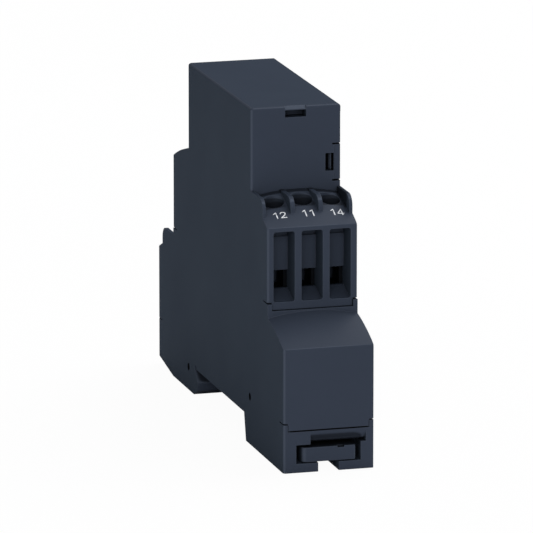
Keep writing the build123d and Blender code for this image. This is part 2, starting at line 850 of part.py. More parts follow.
armature_low = coil_x - pole_radius
armature_high = yoke_under + armature_overlap
with BuildPart() as relay_armature:
    with BuildSketch(coil_plane(armature_inner)):
        with Locations(((armature_low + armature_high) / 2 - coil_x, 0)):
            Rectangle(armature_high - armature_low, yoke_width)
    extrude(amount=armature_thickness)
save(relay_armature.part, "relay_armature")

blade_y = armature_inner + armature_thickness
contact_x = relay_floor + contact_height
blade_high = yoke_under - armature_overlap
with BuildPart() as relay_moving_contact:
    with BuildSketch(coil_plane(blade_y)):
        with Locations(((contact_x - contact_radius + blade_high) / 2 - coil_x, 0)):
            Rectangle(blade_high - contact_x + contact_radius, blade_width)
    extrude(amount=blade_thickness)
    with BuildSketch(coil_plane(blade_y - contact_thickness)):
        with Locations((contact_x - coil_x, 0)):
            Circle(contact_radius)
    extrude(amount=2 * contact_thickness + blade_thickness)
save(relay_moving_contact.part, "relay_moving_contact")


def fixed_contact(face_y, direction):
    """A fixed contact on its blade; the contact faces against the direction given."""
    with BuildPart() as fixed:
        with BuildSketch(coil_plane(face_y)):
            with Locations((contact_x - coil_x, 0)):
                Circle(contact_radius)
        extrude(amount=direction * contact_thickness)
        with BuildSketch(coil_plane(face_y + direction * contact_thickness)):
            with Locations(((relay_floor + contact_x + contact_radius) / 2 - coil_x, 0)):
                Rectangle(contact_height + contact_radius, blade_width)
        extrude(amount=direction * blade_thickness)
    return fixed.part


closed_face = blade_y + blade_thickness + contact_thickness + contact_gap
open_face = blade_y - contact_thickness - contact_travel
save(fixed_contact(closed_face, 1), "relay_contact_closed")
save(fixed_contact(open_face, -1), "relay_contact_open")

# Loose electronics, seated on the board face
row_step = half_body / 8
row_z = (cavity_floor + upper_floor) / 2
capacitor_size = (7.2, 11.0, 6.0)
capacitor_ys = (-6 * row_step, -4 * row_step, -2 * row_step)
resistor_radius = 1.3
resistor_length = 6.6
resistor_ys = (0.25 * row_step, 1.15 * row_step, 2.05 * row_step)
varistor_radius = 3.2
varistor_thickness = 2.8
varistor_ys = (3.4 * row_step, 5.2 * row_step)
can_radius = 4.0
can_height = 11.0
can_y = -12.0
can_drop = 9.5
chip_size = (5.0, 4.0, 1.5)
chip_leg = (0.4, 6.0, 0.6)
chip_pitch = 1.27
chip_y = -10.0
chip_drop = 21.0
rectifier_size = (5.0, 4.0, 2.4)
rectifier_y = 0.0
rectifier_drop = 27.5
can_z = roof_top - can_drop
chip_z = roof_top - chip_drop
rectifier_z = roof_top - rectifier_drop


def on_board(lift=0.0):
    """The board's face, where the loose parts stand."""
    return Plane.YZ.offset(board_face + lift)


with BuildPart() as phase_capacitors:
    with BuildSketch(on_board()):
        with Locations(*[(y, row_z) for y in capacitor_ys]):
            Rectangle(capacitor_size[0], capacitor_size[1])
    extrude(amount=capacitor_size[2])
save(phase_capacitors.part, "phase_capacitors")

with BuildPart() as dropper_resistors:
    with BuildSketch(Plane.XY.offset(row_z - resistor_length / 2)):
        with Locations(*[(board_face + resistor_radius, y) for y in resistor_ys]):
            Circle(resistor_radius)
    extrude(amount=resistor_length)
save(dropper_resistors.part, "dropper_resistors")

with BuildPart() as varistors:
    with BuildSketch(on_board()):
        with Locations(*[(y, row_z + varistor_radius) for y in varistor_ys]):
            Circle(varistor_radius)
    extrude(amount=varistor_thickness)
save(varistors.part, "varistors")

with BuildPart() as smoothing_capacitor:
    with BuildSketch(on_board()):
        with Locations((can_y, can_z)):
            Circle(can_radius)
    extrude(amount=can_height)
save(smoothing_capacitor.part, "smoothing_capacitor")

with BuildPart() as controller_chip:
    with BuildSketch(on_board(lift=fit_gap)):
        with Locations((chip_y, chip_z)):
            Rectangle(chip_size[0], chip_size[1])
    extrude(amount=chip_size[2])
    with BuildSketch(on_board()):
        with Locations((chip_y, chip_z)):
            with GridLocations(chip_pitch, 0, 4, 1):
                Rectangle(chip_leg[0], chip_leg[1])
    extrude(amount=chip_leg[2])
save(controller_chip.part, "controller_chip")

with BuildPart() as rectifier:
    with BuildSketch(on_board()):
        with Locations((rectifier_y, rectifier_z)):
            Rectangle(rectifier_size[0], rectifier_size[1])
    extrude(amount=rectifier_size[2])
save(rectifier.part, "rectifier")
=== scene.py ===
import bpy
import json
import math
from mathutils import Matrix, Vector


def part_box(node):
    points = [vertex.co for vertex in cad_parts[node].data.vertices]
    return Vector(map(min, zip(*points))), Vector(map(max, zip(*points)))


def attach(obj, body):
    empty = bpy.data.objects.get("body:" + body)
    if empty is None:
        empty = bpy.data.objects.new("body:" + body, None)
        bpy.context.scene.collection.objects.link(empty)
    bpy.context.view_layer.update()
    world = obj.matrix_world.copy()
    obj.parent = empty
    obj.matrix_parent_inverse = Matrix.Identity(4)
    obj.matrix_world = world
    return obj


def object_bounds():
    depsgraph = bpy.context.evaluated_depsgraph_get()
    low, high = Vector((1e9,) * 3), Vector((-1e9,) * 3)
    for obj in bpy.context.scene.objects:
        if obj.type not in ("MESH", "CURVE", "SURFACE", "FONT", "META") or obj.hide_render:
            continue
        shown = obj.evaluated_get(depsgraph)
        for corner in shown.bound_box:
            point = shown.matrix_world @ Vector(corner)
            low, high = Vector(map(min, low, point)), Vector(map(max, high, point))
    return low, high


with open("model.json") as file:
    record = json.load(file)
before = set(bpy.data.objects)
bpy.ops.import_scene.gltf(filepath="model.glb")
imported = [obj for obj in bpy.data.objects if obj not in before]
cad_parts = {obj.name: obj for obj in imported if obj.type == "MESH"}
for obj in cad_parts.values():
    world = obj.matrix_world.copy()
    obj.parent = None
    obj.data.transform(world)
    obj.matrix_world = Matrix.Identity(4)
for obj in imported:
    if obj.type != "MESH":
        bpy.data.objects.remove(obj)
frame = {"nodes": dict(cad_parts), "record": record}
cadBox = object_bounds()
nodes = frame["nodes"]
mm = 0.001  # the photo was measured in millimetres, the scene is in metres
places = ("left", "middle", "right")
print("stage 1: frame loaded with", len(nodes), "nodes")


def srgbToLinear(red, green, blue):
    # colours are written as 0-255 screen values
    out = []
    for value in (red, green, blue):
        share = value / 255
        out.append(share / 12.92 if share <= 0.04045 else ((share + 0.055) / 1.055) ** 2.4)
    return (*out, 1.0)


def makeActive(piece):
    bpy.ops.object.select_all(action="DESELECT")
    piece.select_set(True)
    bpy.context.view_layer.objects.active = piece


def applyModifiers(piece):
    makeActive(piece)
    for name in [modifier.name for modifier in piece.modifiers]:
        bpy.ops.object.modifier_apply(modifier=name)


# Camera, where the photo was taken from
camera = {
    "place": (-374.03 * mm, -1327.45 * mm, 349.28 * mm),
    "looksAlong": (0.26462, 0.93746, -0.22616),
    "lens": 499.5,
    "sensor": 36.0,
    "nearest": 0.1,
    "farthest": 20,
}
bpy.ops.object.camera_add(location=camera["place"])
photoCamera = bpy.context.object
photoCamera.name = "photoCamera"
photoCamera.rotation_euler = Vector(camera["looksAlong"]).to_track_quat("-Z", "Y").to_euler()
photoCamera.data.lens = camera["lens"]
photoCamera.data.sensor_width = camera["sensor"]
photoCamera.data.clip_start = camera["nearest"]
photoCamera.data.clip_end = camera["farthest"]
bpy.context.scene.camera = photoCamera
bpy.context.scene.view_settings.view_transform = "Standard"
print("stage 2: camera placed")


# Shader node helpers. An input is a number, a vector, a colour or the output of another node.
def feed(socket, value):
    if isinstance(value, bpy.types.NodeSocket):
        socket.id_data.links.new(value, socket)
    else:
        socket.default_value = value


def setInputs(node, inputs):
    for name, value in inputs.items():
        feed(node.inputs[name], value)


def addNode(tree, kind, place, inputs=None):
    node = tree.nodes.new(kind)
    node.location = place
    setInputs(node, inputs or {})
    return node


def addOperation(tree, kind, operation, place, values):
    node = addNode(tree, kind, place, dict(enumerate(values)))
    node.operation = operation
    return node.outputs


def addMath(tree, operation, place, *values):
    return addOperation(tree, "ShaderNodeMath", operation, place, values)["Value"]


def addVectorMath(tree, operation, place, *values):
    outputs = addOperation(tree, "ShaderNodeVectorMath", operation, place, values)
    return outputs["Value" if operation in ("DOT_PRODUCT", "LENGTH") else "Vector"]


def addRange(tree, place, value, span=(0.0, 1.0), target=(0.0, 1.0)):
    limits = {"From Min": span[0], "From Max": span[1], "To Min": target[0], "To Max": target[1]}
    return addNode(tree, "ShaderNodeMapRange", place, {"Value": value, **limits}).outputs["Result"]


def addNoise(tree, place, coords, scale, detail, roughness=0.5):
    look = {"Vector": coords, "Scale": scale, "Detail": detail, "Roughness": roughness}
    return addNode(tree, "ShaderNodeTexNoise", place, look).outputs["Fac"]


# a Mix node has sockets for every type: these are the two inputs and the output for vectors and for colours
mixSockets = {"VECTOR": (4, 5, 1), "RGBA": (6, 7, 2)}


def addMix(tree, kind, place, share, first, second, blend="MIX"):
    node = addNode(tree, "ShaderNodeMix", place)
    node.data_type = kind
    node.blend_type = blend
    firstInput, secondInput, result = mixSockets[kind]
    setInputs(node, {0: share, firstInput: first, secondInput: second})
    return node.outputs[result]


def addTint(tree, place, share, look, first="colour", second="dark"):
    return addMix(tree, "RGBA", place, share, srgbToLinear(*look[first]), srgbToLinear(*look[second]))


def addShaderMix(tree, place, share, first, second):
    return addNode(tree, "ShaderNodeMixShader", place, {0: share, 1: first, 2: second}).outputs["Shader"]


def emptyTree(owner):
    owner.use_nodes = True
    owner.node_tree.nodes.clear()
    return owner.node_tree


def blankMaterial(name):
    material = bpy.data.materials.new(name)
    tree = emptyTree(material)
    shader = addNode(tree, "ShaderNodeBsdfPrincipled", (600, 0))
    addNode(tree, "ShaderNodeOutputMaterial", (900, 0), {"Surface": shader.outputs["BSDF"]})
    coords = addNode(tree, "ShaderNodeTexCoord", (-900, 0)).outputs["Object"]
    return material, tree, shader, coords


# Moulded case plastic: slate, with a fine spark-eroded grain and faint flow marks. Its edges are lighter and
# slightly polished, partly from wear and partly as painted highlight, its corners and chamfers carry painted
# highlight, and its slits, corners and hollows carry painted shade. The flat sides and the joint under the
# front plate are flush, so they show no lighter edge. The sides and the front face are duller than the
# slopes and the end walls. Chosen by the way a face looks, the front face carries painted shade, a tone
# darker, and the sides carry painted light, a tone bluer and lighter.
casePlastic = {
    "colour": (53, 60, 73),
    # lighter edges and corners: partly wear, partly painted highlight
    "scuffAndHighlight": (86, 94, 108),
    # painted shade on the front face and painted light on the sides, set by which way a face looks
    "frontPaintedShade": (48, 56, 69),
    "sidePaintedLight": (54, 63, 75),
    # the colour of painted shade in crevices and unlit places
    "paintedShade": (9, 10, 13),
    "specular": 0.04,
    "samples": 6,
    # how far up or sideways a face looks: more than this for the front or a side, less for an upright wall
    "frontLimit": 0.98,
    "sideLimit": 0.9,
    "uprightLimit": 0.1,
    # roughness of the slopes and end walls, and of the flat faces
    "roughness": 0.5,
    "roughnessSpread": 0.06,
    "flatRoughness": 0.84,
    # flow marks and grain; a larger scale is finer
    "flowScale": 55.0,
    "flowDetail": 2.0,
    "flowDepth": 0.14,
    "grainScale": 5200.0,
    "grainDetail": 3.0,
    "grainRoughness": 0.6,
    "grainStrength": 0.35,
    "grainDepth": 0.01 * mm,
    # lighter edges and corners, each with the range of its measure over which the lightening sets in: on
    # edges it is partly wear and partly painted highlight, on corners and chamfers it is painted highlight;
    # the joint under the front plate has a band without it
    "edgeRadius": 0.3 * mm,
    "edgeScuffAndHighlight": 0.38,
    "edgeRange": (0.995, 0.8),
    "edgeGloss": 0.14,
    "cornerHighlight": 0.36,
    "cornerRange": (0.04, 0.24),
    "chamferRange": (0.225, 0.245),
    "plateJoint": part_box("front_plate")[0][2],
    "jointBand": 0.45 * mm,
    # painted shade in crevices: how far it reaches from a wall, and the height up to which the floor makes
    # none
    "creviceReach": 1.9 * mm,
    "creviceRange": (0.04, 0.6),
    "floorReach": 4.0 * mm,
    # painted shade over unlit places: a rounded box with its centre and half size in mm, and the share of
    # colour left in it
    "spotEdge": 0.75,
    "shadeSpots": {
        "farMark": ((-8.25, 22.5, 4.6), (0.499, 1.1, 1.1), 0.0),
        "nearMark": ((-8.25, -21.75, 9.25), (0.499, 1.1, 1.1), 0.0),
        "latchWindowBack": ((6.645, -20.85, 53.9), (1.2, 0.45, 2.4), 0.0),
        "latchWindowWall": ((7.6, -21.3, 53.9), (0.4, 1.05, 2.4), 0.0),
        "latchSlitAbove": ((8.1, -22.5, 57.375), (1.0, 0.5, 0.17), 0.0),
        "latchSlitBelow": ((8.1, -22.5, 50.375), (1.0, 0.5, 0.17), 0.0),
        "footSeam": ((0, -45.0, 8.01), (8.05, 0.5, 0.15), 0.0),
        "handleScoop": ((0.8, -43.0, 5.9), (6.0, 1.99, 1.8), 0.35),
        "hookUndercut": ((0, 16.9, 5.3), (8.745, 2.4, 2.45), 0.3),
    },
}
# the terminal blocks carry painted shade down their wells, and the near one under its right ear and along
# the wall
blockShadeSpots = {
    "rightEar": ((8.1, -25.5, 48.0), (0.4, 3.6, 2.2), 0.35),
    "wallBehind": ((0, -22.6, 48.5), (8.0, 1.0, 1.3), 0.35),
}
# each screw well has two rounded boxes of painted shade, one deep and one at its mouth: the rise over the
# screw's head, the shift towards the middle of the module and the half size, in mm
wells = {
    "boxes": {"deep": (-0.85, 0, (2.5, 2.5, 3.6)), "mouth": (1.25, 0.9, (2.3, 1.7, 2.0))},
    "crown": 1.2,
    "openShare": 0.42,
}
for end, inward in (("near", 1), ("far", -1)):
    for place in places:
        low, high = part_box(f"terminal_screw_{end}_{place}")
        wellX, wellY = ((low[axis] + high[axis]) / 2 / mm for axis in (0, 1))
        outward = wellX * mm / cadBox[1][0]
        crownRise = wells["crown"] * (1 - outward**2)  # the slope is higher in the middle
        for level, (rise, shift, reach) in wells["boxes"].items():
            centre = (wellX, wellY + inward * shift, high[2] / mm + rise + crownRise)
            blockShadeSpots[f"{end}{place.title()}{level.title()}"] = (centre, reach, wells["openShare"])
blockPlastic = {**casePlastic, "shadeSpots": blockShadeSpots}


def addOpenness(tree, look, coords, height):
    # the share of colour left under painted shade: one on open faces, less in crevices and unlit places; the
    # floor under the feet makes no crevice
    recess = addNode(tree, "ShaderNodeAmbientOcclusion", (-150, 350), {"Distance": look["creviceReach"]})
    recess.samples = look["samples"]
    recessMask = addRange(tree, (50, 350), recess.outputs["AO"], look["creviceRange"])
    floorLift = addRange(tree, (50, 500), height, (0.0, look["floorReach"]), (1.0, 0.0))
    openness = addMath(tree, "MAXIMUM", (200, 450), recessMask, floorLift)
    for index, (centre, reach, openShare) in enumerate(look["shadeSpots"].values()):
        row = 550 + 150 * index
        offset = addVectorMath(tree, "SUBTRACT", (-450, row), coords, [value * mm for value in centre])
        share = addVectorMath(tree, "DIVIDE", (-300, row), offset, [value * mm for value in reach])
        squared = addVectorMath(tree, "MULTIPLY", (-200, row), share, share)
        fourth = addVectorMath(tree, "MULTIPLY", (-100, row), squared, squared)
        spot = addVectorMath(tree, "LENGTH", (0, row), fourth)
        fade = addRange(tree, (150, row), spot, (look["spotEdge"], 1.0), (openShare, 1.0))
        openness = addMath(tree, "MULTIPLY", (300, row), fade, openness)
    return openness


def makeCasePlastic(name, look):
    material, tree, shader, coords = blankMaterial(name)
    faceNormal = addNode(tree, "ShaderNodeNewGeometry", (-600, -800)).outputs["Normal"]
    bevel = addNode(tree, "ShaderNodeBevel", (-600, -600), {"Radius": look["edgeRadius"]})
    bevel.samples = look["samples"]
    grainLook = (look["grainScale"], look["grainDetail"], look["grainRoughness"])
    grain = addNoise(tree, (-600, -300), coords, *grainLook)
    flow = addNoise(tree, (-600, 0), coords, look["flowScale"], look["flowDetail"])
    height = addNode(tree, "ShaderNodeSeparateXYZ", (-350, -1050), {"Vector": coords}).outputs["Z"]
    faceAxes = addNode(tree, "ShaderNodeSeparateXYZ", (-350, -900), {"Vector": faceNormal}).outputs
    sideways = addMath(tree, "ABSOLUTE", (-150, -900), faceAxes["X"])
    isFront = addMath(tree, "GREATER_THAN", (0, -300), faceAxes["Z"], look["frontLimit"])
    isSide = addMath(tree, "GREATER_THAN", (0, -450), sideways, look["sideLimit"])

    # lighter edges, partly wear and partly painted highlight, where the rounded normal leaves the face's
    # own, and not on flush faces
    notSide = addMath(tree, "LESS_THAN", (0, -900), sideways, look["sideLimit"])
    nearJoint = addMath(tree, "COMPARE", (-150, -1050), height, look["plateJoint"], look["jointBand"])
    isUpright = addMath(tree, "LESS_THAN", (-150, -1200), faceAxes["Z"], look["uprightLimit"])
    onJoint = addMath(tree, "MULTIPLY", (0, -1100), nearJoint, isUpright)
    openEdge = addMath(tree, "SUBTRACT", (150, -950), notSide, onJoint)
    openEdge.node.use_clamp = True
    edgeDot = addVectorMath(tree, "DOT_PRODUCT", (-350, -700), bevel.outputs["Normal"], faceNormal)
    edgeMask = addRange(tree, (-150, -700), edgeDot, look["edgeRange"], (0.0, look["edgeScuffAndHighlight"]))
    edgeScuffAndHighlight = addMath(tree, "MULTIPLY", (300, -750), edgeMask, openEdge)

    # painted highlight on corners: x² y² is a quarter midway round an upright corner, and y² z² on a 45
    # degree chamfer
    squares = addVectorMath(tree, "MULTIPLY", (-350, -1350), faceNormal, faceNormal)
    squareAxes = addNode(tree, "ShaderNodeSeparateXYZ", (-200, -1350), {"Vector": squares}).outputs
    across = addMath(tree, "MULTIPLY", (-50, -1350), squareAxes["X"], squareAxes["Y"])
    over = addMath(tree, "MULTIPLY", (-50, -1500), squareAxes["Y"], squareAxes["Z"])
    cornerHighlight = addRange(tree, (100, -1350), across, look["cornerRange"], (0.0, look["cornerHighlight"]))
    chamferHighlight = addRange(tree, (100, -1600), over, look["chamferRange"], (0.0, look["cornerHighlight"]))
    paintedHighlights = addMath(tree, "MAXIMUM", (300, -1400), cornerHighlight, chamferHighlight)
    scuffAndHighlightShare = addMath(tree, "MAXIMUM", (450, -750), edgeScuffAndHighlight, paintedHighlights)

    # colour, from the painted shade and light by facing over the flow marks and the wear with painted
    # highlight to the painted shade in crevices and unlit places
    side, scuffAndHighlight, paintedShade = (srgbToLinear(*look[key]) for key in ("sidePaintedLight", "scuffAndHighlight", "paintedShade"))
    flowMark = (*[1 - look["flowDepth"]] * 3, 1.0)
    # painted shade on the front face and painted light on the sides, by which way the face looks
    tint = addTint(tree, (-250, 100), isFront, look, second="frontPaintedShade")
    tint = addMix(tree, "RGBA", (-100, 100), isSide, tint, side)
    tint = addMix(tree, "RGBA", (50, 100), flow, tint, flowMark, blend="MULTIPLY")
    # lighter edges and corners: partly wear, partly painted highlight
    tint = addMix(tree, "RGBA", (200, 100), scuffAndHighlightShare, tint, scuffAndHighlight)
    # painted shade in crevices and unlit places, laid over all of the colour
    tint = addMix(tree, "RGBA", (350, 200), addOpenness(tree, look, coords, height), paintedShade, tint)

    # roughness, more on flat faces and less on the lighter edges and corners
    roughRange = (look["roughness"] - look["roughnessSpread"], look["roughness"] + look["roughnessSpread"])
    rough = addRange(tree, (100, -150), flow, target=roughRange)
    isFlat = addMath(tree, "MAXIMUM", (150, -350), isFront, isSide)
    duller = look["flatRoughness"] - look["roughness"]
    rough = addMath(tree, "MULTIPLY_ADD", (300, -300), isFlat, duller, rough)
    rough = addMath(tree, "MULTIPLY_ADD", (450, -300), scuffAndHighlightShare, -look["edgeGloss"], rough)

    softNormal = addMix(tree, "VECTOR", (150, -550), openEdge, faceNormal, bevel.outputs["Normal"])
    grainBump = {"Strength": look["grainStrength"], "Distance": look["grainDepth"], "Height": grain}
    bump = addNode(tree, "ShaderNodeBump", (300, -400), {**grainBump, "Normal": softNormal})
    setInputs(shader, {"Base Color": tint, "Roughness": rough, "Normal": bump.outputs["Normal"]})
    setInputs(shader, {"Specular IOR Level": look["specular"]})
    return material


# Metals: plated or rolled, with fine drawing marks. They lie denser along one axis, so they run across it.
metalMarks = {
    "detail": 4.0,
    "roughness": 0.65,
    "cloudCoarser": 6,
    "cloudDetail": 2.0,
    "smoother": 0.08,
    "rougher": 0.12,
    "strength": 0.25,
    "depth": 0.004 * mm,
    "metallic": 1.0,
}
# near black: painted shade inside the wire holes, where the cages sit
shadedCageSteel = {
    "colour": (24, 26, 30),
    "dark": (15, 17, 20),
    "roughness": 0.55,
    "density": (1, 1, 9),
    "scale": 1500.0,
}
screwSteel = {
    "colour": (120, 122, 126),
    "dark": (84, 86, 90),
    "roughness": 0.4,
    "density": (1, 1, 9),
    "scale": 1500.0,
}
tinnedBrass = {
    "colour": (206, 196, 168),
    "dark": (168, 154, 122),
    "roughness": 0.32,
    "density": (1, 8, 1),
    "scale": 1200.0,
}
relayIron = {
    "colour": (172, 173, 174),
    "dark": (135, 136, 138),
    "roughness": 0.42,
    "density": (6, 1, 1),
    "scale": 1100.0,
}
contactAlloy = {
    "colour": (214, 190, 150),
    "dark": (172, 146, 104),
    "roughness": 0.3,
    "density": (1, 1, 7),
    "scale": 1600.0,
}
canMetal = {
    "colour": (202, 203, 206),
    "dark": (168, 170, 174),
    "roughness": 0.36,
    "density": (7, 1, 1),
    "scale": 900.0,
}


def roughnessAround(look, marks):
    return look["roughness"] - marks["smoother"], look["roughness"] + marks["rougher"]


def makeMetal(name, look):
    material, tree, shader, coords = blankMaterial(name)
    mapping = addNode(tree, "ShaderNodeMapping", (-750, -100), {"Vector": coords, "Scale": look["density"]})
    drawn = mapping.outputs["Vector"]
    marks = addNoise(tree, (-550, -100), drawn, look["scale"], metalMarks["detail"], metalMarks["roughness"])
    cloudScale = look["scale"] / metalMarks["cloudCoarser"]
    cloud = addNoise(tree, (-550, 200), coords, cloudScale, metalMarks["cloudDetail"])
    tint = addTint(tree, (-200, 200), cloud, look)
    rough = addRange(tree, (-200, -100), marks, target=roughnessAround(look, metalMarks))
    marksBump = {"Strength": metalMarks["strength"], "Distance": metalMarks["depth"], "Height": marks}
    bump = addNode(tree, "ShaderNodeBump", (200, -300), marksBump)
    setInputs(shader, {"Base Color": tint, "Roughness": rough, "Normal": bump.outputs["Normal"]})
    setInputs(shader, {"Metallic": metalMarks["metallic"]})
    return material


# Other finishes: two tones blended by a cloud, with a light bump. A larger scale is finer.
coatMarks = {
    "detail": 2.0,
    "cloudCoarser": 8,
    "cloudDetail": 3.0,
    "smoother": 0.05,
    "rougher": 0.08,
    "strength": 0.3,
}
boardLaminate = {
    "colour": (38, 92, 56),
    "dark": (30, 78, 46),
    "roughness": 0.35,
    "scale": 900.0,
    "depth": 0.006 * mm,
}
relayPlastic = {
    "colour": (44, 45, 48),
    "dark": (36, 37, 40),
    "roughness": 0.4,
    "scale": 2600.0,
    "depth": 0.008 * mm,
}
bobbinPlastic = {
    "colour": (226, 219, 202),
    "dark": (212, 204, 186),
    "roughness": 0.55,
    "scale": 2000.0,
    "depth": 0.008 * mm,
}
capacitorBox = {
    "colour": (206, 176, 62),
    "dark": (192, 160, 52),
    "roughness": 0.38,
    "scale": 1500.0,
    "depth": 0.008 * mm,
}
resistorBody = {
    "colour": (178, 204, 196),
    "dark": (158, 188, 180),
    "roughness": 0.5,
    "scale": 2400.0,
    "depth": 0.01 * mm,
}
varistorCoat = {
    "colour": (52, 84, 148),
    "dark": (42, 70, 130),
    "roughness": 0.42,
    "scale": 1400.0,
    "depth": 0.02 * mm,
}
chipResin = {
    "colour": (34, 34, 36),
    "dark": (28, 28, 30),
    "roughness": 0.58,
    "scale": 3200.0,
    "depth": 0.012 * mm,
}
numberPrint = {
    "colour": (238, 240, 244),
    "dark": (222, 226, 232),
    "roughness": 0.5,
    "scale": 3600.0,
    "depth": 0.004 * mm,
}


def makeCoat(name, look):
    material, tree, shader, coords = blankMaterial(name)
    cloudScale = look["scale"] / coatMarks["cloudCoarser"]
    cloud = addNoise(tree, (-600, 100), coords, cloudScale, coatMarks["cloudDetail"])
    grain = addNoise(tree, (-600, -250), coords, look["scale"], coatMarks["detail"])
    tint = addTint(tree, (-200, 150), cloud, look)
    rough = addRange(tree, (-200, -100), cloud, target=roughnessAround(look, coatMarks))
    grainBump = {"Strength": coatMarks["strength"], "Distance": look["depth"], "Height": grain}
    bump = addNode(tree, "ShaderNodeBump", (200, -300), grainBump)
    setInputs(shader, {"Base Color": tint, "Roughness": rough, "Normal": bump.outputs["Normal"]})
    return material


# Copper winding: turns side by side around the coil, which lies along Y
copperWinding = {
    "colour": (176, 96, 52),
    "dark": (128, 62, 30),
    "wire": 0.16 * mm,
    "waver": 0.4,
    "detail": 1.0,
    "strength": 0.6,
    "roughness": 0.3,
    "metallic": 0.7,
}


def makeWinding(name, look):
    material, tree, shader, coords = blankMaterial(name)
    waveScale = math.pi / 10 / look["wire"]  # a wave texture of scale 1 has a band every tenth of pi
    wave = {"Vector": coords, "Scale": waveScale, "Distortion": look["waver"], "Detail": look["detail"]}
    turns = addNode(tree, "ShaderNodeTexWave", (-500, 0), wave)
    turns.bands_direction = "Y"
    ridge = turns.outputs["Fac"]
    tint = addTint(tree, (-100, 100), ridge, look, first="dark", second="colour")
    turnsBump = {"Strength": look["strength"], "Distance": look["wire"] / 2, "Height": ridge}
    bump = addNode(tree, "ShaderNodeBump", (200, -300), turnsBump)
    setInputs(shader, {"Base Color": tint, "Normal": bump.outputs["Normal"]})
    setInputs(shader, {"Roughness": look["roughness"], "Metallic": look["metallic"]})
    return material


materials = {
    "case_plastic": makeCasePlastic("casePlastic", casePlastic),
    "tinned_brass": makeMetal("tinnedBrass", tinnedBrass),
    "relay_iron": makeMetal("relayIron", relayIron),
    "contact_alloy": makeMetal("contactAlloy", contactAlloy),
    "capacitor_can": makeMetal("canMetal", canMetal),
    "board_laminate": makeCoat("boardLaminate", boardLaminate),
    "relay_plastic": makeCoat("relayPlastic", relayPlastic),
    "bobbin_plastic": makeCoat("bobbinPlastic", bobbinPlastic),
    "capacitor_box": makeCoat("capacitorBox", capacitorBox),
    "resistor_ceramic": makeCoat("resistorBody", resistorBody),
    "varistor_coat": makeCoat("varistorCoat", varistorCoat),
    "chip_resin": makeCoat("chipResin", chipResin),
    "copper_winding": makeWinding("copperWinding", copperWinding),
}
numberMaterial = makeCoat("numberPrint", numberPrint)
# some nodes have a finish of their own, told by how their name starts
ownMaterials = {
    "clamp_cage": makeMetal("shadedCageSteel", shadedCageSteel),
    "terminal_screw": makeMetal("screwSteel", screwSteel),
    "terminal_block": makeCasePlastic("blockPlastic", blockPlastic),
}

slotOfNode = {row["node"]: row["material_slot"] for row in frame["record"]["subparts"]}
for nodeName, node in nodes.items():
    own = [material for start, material in ownMaterials.items() if nodeName.startswith(start)]
    finish = own[0] if own else materials[slotOfNode[nodeName]]
    node.data.materials.clear()
    node.data.materials.append(finish)
print("stage 3: materials set on", len(nodes), "nodes")


# Terminal numbers, drawn as pen strokes and printed on the sloping label faces. The slope is in degrees,
# and fromWall starts at the wall behind the wells. The near numbers stand a little right, as in the photo.
numbers = {
    "near": ("12", "11", "14"),
    "far": ("3", "2", "1"),
    "height": 1.84 * mm,
    "advance": 0.777,
    "stroke": 0.2 * mm,
    "curveSteps": 4,
    "slope": 18.0,
    "fromWall": 7.87 * mm,
    "nearShift": {"left": 0.1 * mm, "middle": 0.28 * mm, "right": 0.34 * mm},
    "startAbove": 2 * mm,
    "weld": 0.002 * mm,
    "thickness": 0.03 * mm,
    "lift": 0.004 * mm,
}
# strokes of each digit in a box one high; a stroke is straight or runs smoothly through its points
digitStrokes = {
    "1": [("straight", (0.17, 0.72), (0.46, 0.95)), ("straight", (0.46, 0.0), (0.46, 1.0))],
    "2": [
        ("smooth", (0.11, 0.69), (0.2, 0.87), (0.38, 0.93), (0.56, 0.87),
         (0.62, 0.7), (0.5, 0.46), (0.1, 0.09)),
        ("straight", (0.045, 0.08), (0.7, 0.08)),
    ],
    "3": [
        ("smooth", (0.1, 0.73), (0.19, 0.88), (0.36, 0.93), (0.55, 0.86),
         (0.59, 0.72), (0.5, 0.57), (0.3, 0.54)),
        ("smooth", (0.3, 0.54), (0.54, 0.5), (0.64, 0.31), (0.56, 0.13),
         (0.36, 0.07), (0.17, 0.13), (0.09, 0.27)),
    ],
    "4": [
        ("straight", (0.51, 0.97), (0.07, 0.31)),
        ("straight", (0.02, 0.27), (0.71, 0.27)),
        ("straight", (0.52, 0.0), (0.52, 1.0)),
    ],
}


def drawStroke(kind, points, left):
    # a flat ribbon along the stroke: the curve is turned on its side so that its extrusion lies in the plane
    bpy.ops.curve.primitive_bezier_curve_add(location=(0, 0, 0))
    ribbon = bpy.context.object
    spline = ribbon.data.splines[0]
    spline.bezier_points.add(len(points) - len(spline.bezier_points))
    for spot, (across, up) in zip(spline.bezier_points, points):
        spot.handle_left_type = spot.handle_right_type = "VECTOR" if kind == "straight" else "AUTO"
        spot.co = (left + across * numbers["height"], (up - 0.5) * numbers["height"], 0)
        spot.tilt = math.pi / 2
    ribbon.data.dimensions = "3D"
    ribbon.data.twist_mode = "Z_UP"
    ribbon.data.resolution_u = numbers["curveSteps"]
    ribbon.data.extrude = numbers["stroke"] / 2
    bpy.ops.object.convert(target="MESH")
    return bpy.context.object


def joinStrokes(text):
    step = numbers["advance"] * numbers["height"]
    strokes = []
    for index, digit in enumerate(text):
        for kind, *points in digitStrokes[digit]:
            strokes.append(drawStroke(kind, points, (index - len(text) / 2) * step))
    makeActive(strokes[0])
    for stroke in strokes:
        stroke.select_set(True)
    bpy.ops.object.join()
    return bpy.context.object


